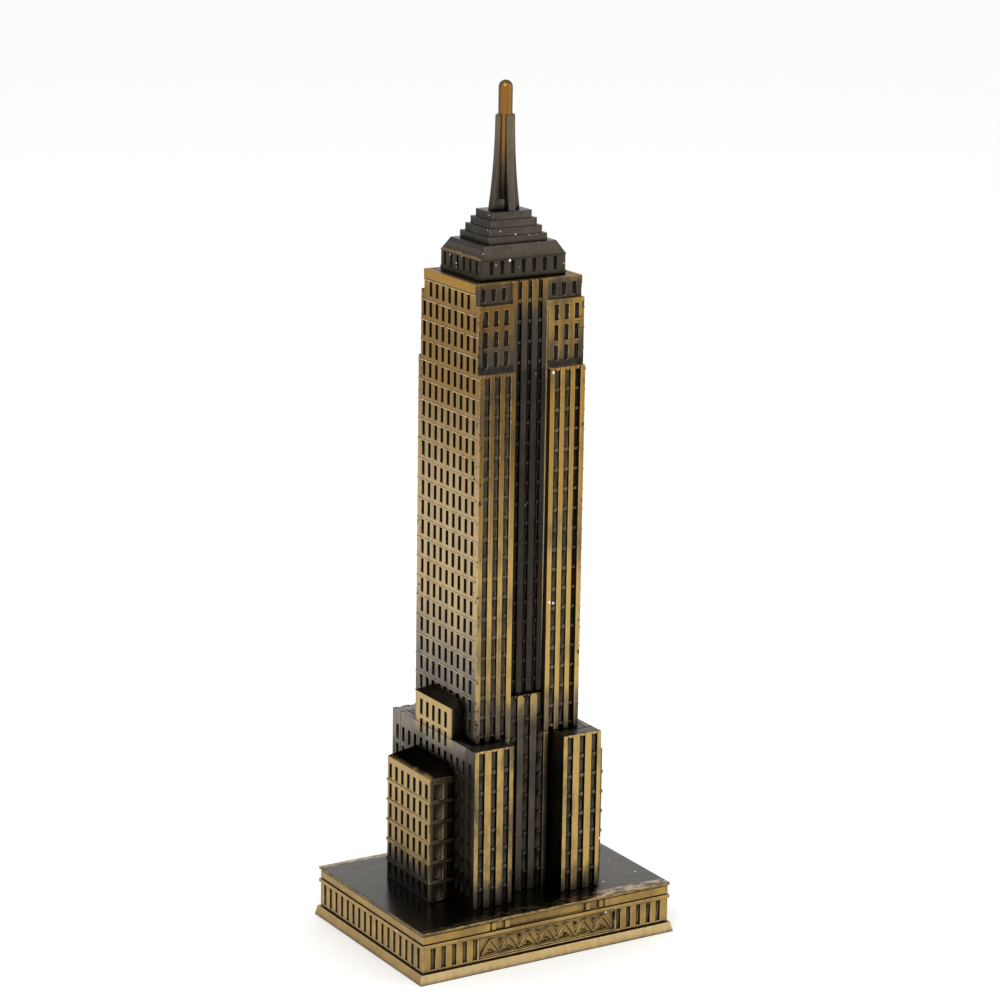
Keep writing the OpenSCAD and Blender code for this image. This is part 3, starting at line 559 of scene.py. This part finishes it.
def plain(name, colour, metallic, roughness, grain):
    """Even material of the hidden fixings and of the felt pad, with a grain of that size."""
    s = Shader(name)
    tint = s.mix(s.ramp(s.noise(grain, detail=5), 0.3, 0.7), colour, tuple(c * 0.7 for c in colour))
    material = s.finish(tint, s.ramp(s.noise(grain), 0.2, 0.8, roughness, roughness + 0.1),
                        [s.multiply(s.noise(grain), 0.05)])
    s.surface.inputs["Metallic"].default_value = metallic
    return material


materials = {
    "side_bronze": wall_bronze("side_bronze"),
    "front_bronze": wall_bronze("front_bronze"),
    "plinth_bronze": plinth_bronze(),
    "plinth_patina": plinth_patina(),
    "roof_patina": roof_patina(),
    "crown_patina": crown_patina(),
    "rod_brass": rod_brass(),
    "fixing_steel": plain("fixing_steel", STEEL, metallic=1.0, roughness=0.3, grain=0.6),
    "pad_felt": plain("pad_felt", FELT, metallic=0.0, roughness=0.9, grain=0.3),
}


# ---- castings ----

EDGE = 0.2                      # widest rounding of a cast edge, in millimetres
SHARP_BEND = math.radians(50)   # two faces that turn more than this meet in an edge to be rounded
FLAT = 0.9999                   # two faces whose normals agree this well are one flat face
PARALLEL = 0.99                 # and two edges whose directions agree this well lie side by side
TOUCHING = 1e-3                 # closer than this, in millimetres, two edges lie in one line
SHARED, ALONE = 0.45, 0.85      # part of a narrow face that one edge takes beside a rounded or a plain edge


def welded_edges(mesh):
    """The mesh's own edges as pairs of welded corners, and the triangles on either side of each pair."""
    places = np.array([v.co for v in mesh.vertices]) / MM
    corners, welded = np.unique(places.round(4), axis=0, return_inverse=True)
    welded = welded.ravel()
    triangles = welded[np.array([p.vertices[:3] for p in mesh.polygons])]
    own = np.sort(welded[np.array([e.vertices[:] for e in mesh.edges])], axis=1)
    sides = {}
    for t, (a, b, c) in enumerate(triangles):
        for pair in ((a, b), (b, c), (c, a)):
            sides.setdefault(tuple(sorted(pair)), []).append(t)
    return corners, triangles, own, sides


def flat_regions(count, joined):
    """Number of the flat face that each triangle is part of."""
    region = list(range(count))

    def root(t):
        while region[t] != t:
            region[t] = region[region[t]]
            t = region[t]
        return t

    for a, b in joined:
        region[root(a)] = root(b)
    return [root(t) for t in range(count)]


def rounding(mesh):
    """How much each edge of a casting may be rounded, from 0 to 1: less where a face is narrow."""
    corners, triangles, own, sides = welded_edges(mesh)
    a, b, c = (corners[triangles[:, i]] for i in range(3))
    normals = np.cross(b - a, c - a)
    normals /= np.linalg.norm(normals, axis=1, keepdims=True) + 1e-12
    centres = (a + b + c) / 3
    sharp, joined = [], []
    for pair, faces in sides.items():
        if len(faces) != 2:
            continue
        bend = normals[faces[0]] @ normals[faces[1]]
        if bend < math.cos(SHARP_BEND):
            outward = (centres[faces[1]] - corners[pair[0]]) @ normals[faces[0]] < 0
            sharp.append((pair, faces, outward))
        elif bend > FLAT:
            joined.append(faces)
    region = flat_regions(len(triangles), joined)
    around = {}
    for i, (pair, faces, outward) in enumerate(sharp):
        for face in faces:
            around.setdefault(region[face], []).append(i)
    room = np.full(len(sharp), EDGE)
    ends = np.array([[corners[p] for p in pair] for pair, faces, outward in sharp]).reshape(-1, 2, 3)
    convex = np.array([outward for pair, faces, outward in sharp], bool)
    for members in around.values():
        members = np.array(sorted(set(members)))
        start, along = ends[members, 0], ends[members, 1] - ends[members, 0]
        length = np.linalg.norm(along, axis=1)
        along = along / length[:, None]
        for k, i in enumerate(members):
            if not convex[i]:
                continue
            offset = ends[members] - start[k]
            reach = offset @ along[k]
            apart = np.linalg.norm(offset[:, 0] - reach[:, :1] * along[k], axis=1)
            beside = (np.abs(along @ along[k]) > PARALLEL) & (apart > TOUCHING)
            beside &= (reach.max(1) > TOUCHING) & (reach.min(1) < length[k] - TOUCHING)
            if beside.any():
                share = np.where(convex[members[beside]], SHARED, ALONE)
                room[i] = min(room[i], (apart[beside] * share).min())
    allowed = {pair: room[i] / EDGE for i, (pair, faces, outward) in enumerate(sharp) if outward}
    return [allowed.get(tuple(pair), 0.0) for pair in own]


def soften(piece):
    """Rounds a casting's outer edges: welds its faces, bevels the edges and evens out the shading."""
    weights = piece.data.attributes.new("bevel_weight_edge", "FLOAT", "EDGE")
    weights.data.foreach_set("value", rounding(piece.data))
    weld = piece.modifiers.new("weld", "WELD")
    weld.merge_threshold = 0.002 * MM
    bevel = piece.modifiers.new("bevel", "BEVEL")
    bevel.width = EDGE * MM
    bevel.segments = 3
    bevel.limit_method = "WEIGHT"
    bevel.use_clamp_overlap = False
    even = piece.modifiers.new("even", "WEIGHTED_NORMAL")
    even.keep_sharp = False
    for polygon in piece.data.polygons:
        polygon.use_smooth = True


slot_of = {part["node"]: part["material_slot"] for part in frame["record"]["subparts"]}
for name, piece in nodes.items():
    soften(piece)
    piece.data.materials.clear()
    piece.data.materials.append(materials[slot_of[name]])


# ---- floor, light and camera ----

def make_floor():
    """Pale level floor, so large that its edge is never seen."""
    mesh = bpy.data.meshes.new("floor")
    half = 6.0                  # metres
    corners = [(-half, -half, 0), (half, -half, 0), (half, half, 0), (-half, half, 0)]
    mesh.from_pydata(corners, [], [(0, 1, 2, 3)])
    floor = bpy.data.objects.new("floor", mesh)
    bpy.context.scene.collection.objects.link(floor)
    material = bpy.data.materials.new("floor")
    material.use_nodes = True
    surface = material.node_tree.nodes["Principled BSDF"]
    surface.inputs["Base Color"].default_value = (0.95, 0.95, 0.945, 1)
    surface.inputs["Roughness"].default_value = 0.7
    mesh.materials.append(material)


def add_light(name, place, target, size, power):
    """White rectangular soft light at place, facing target. Places and sizes are in metres."""
    light = bpy.data.lights.new(name, "AREA")
    light.shape = "RECTANGLE"
    light.size, light.size_y = size
    light.energy = power
    holder = bpy.data.objects.new(name, light)
    holder.location = place
    holder.rotation_mode = "QUATERNION"
    holder.rotation_quaternion = (Vector(target) - Vector(place)).to_track_quat("-Z", "Y")
    bpy.context.scene.collection.objects.link(holder)


def make_light():
    """White surroundings with a key light from the left and a weaker fill from the right."""
    world = bpy.data.worlds.new("studio")
    world.use_nodes = True
    world.node_tree.nodes["Background"].inputs["Color"].default_value = (1, 1, 1, 1)
    world.node_tree.nodes["Background"].inputs["Strength"].default_value = 1.0
    bpy.context.scene.world = world
    middle = (0, 0, HEIGHT / 2)
    add_light("key", (-0.5, -0.55, 0.75), middle, size=(0.5, 0.5), power=4)
    add_light("fill", (0.75, -0.5, 0.4), middle, size=(0.5, 0.7), power=2)


def make_camera():
    """Camera at the height and angle of someone looking slightly down at the front left corner."""
    azimuth, elevation, roll = (math.radians(a) for a in (-31.398, 14.538, 0.874))
    place = Vector((-343.95, -563.74, 264.42)) * MM
    right = Vector((math.cos(azimuth), math.sin(azimuth), 0))
    back = Vector((math.sin(azimuth) * math.cos(elevation), -math.cos(azimuth) * math.cos(elevation),
                   math.sin(elevation)))
    up = back.cross(right)
    turned_right = math.cos(roll) * right + math.sin(roll) * up
    turned_up = math.cos(roll) * up - math.sin(roll) * right
    data = bpy.data.cameras.new("camera")
    data.lens, data.sensor_width = 118.97, 36
    camera = bpy.data.objects.new("camera", data)
    turn = Matrix((turned_right, turned_up, back)).transposed().to_4x4()
    camera.matrix_world = Matrix.Translation(place) @ turn
    data.clip_start, data.clip_end = 0.05, 20
    bpy.context.scene.collection.objects.link(camera)
    bpy.context.scene.camera = camera


make_floor()
make_light()
make_camera()
bpy.context.scene.view_settings.view_transform = "Standard"
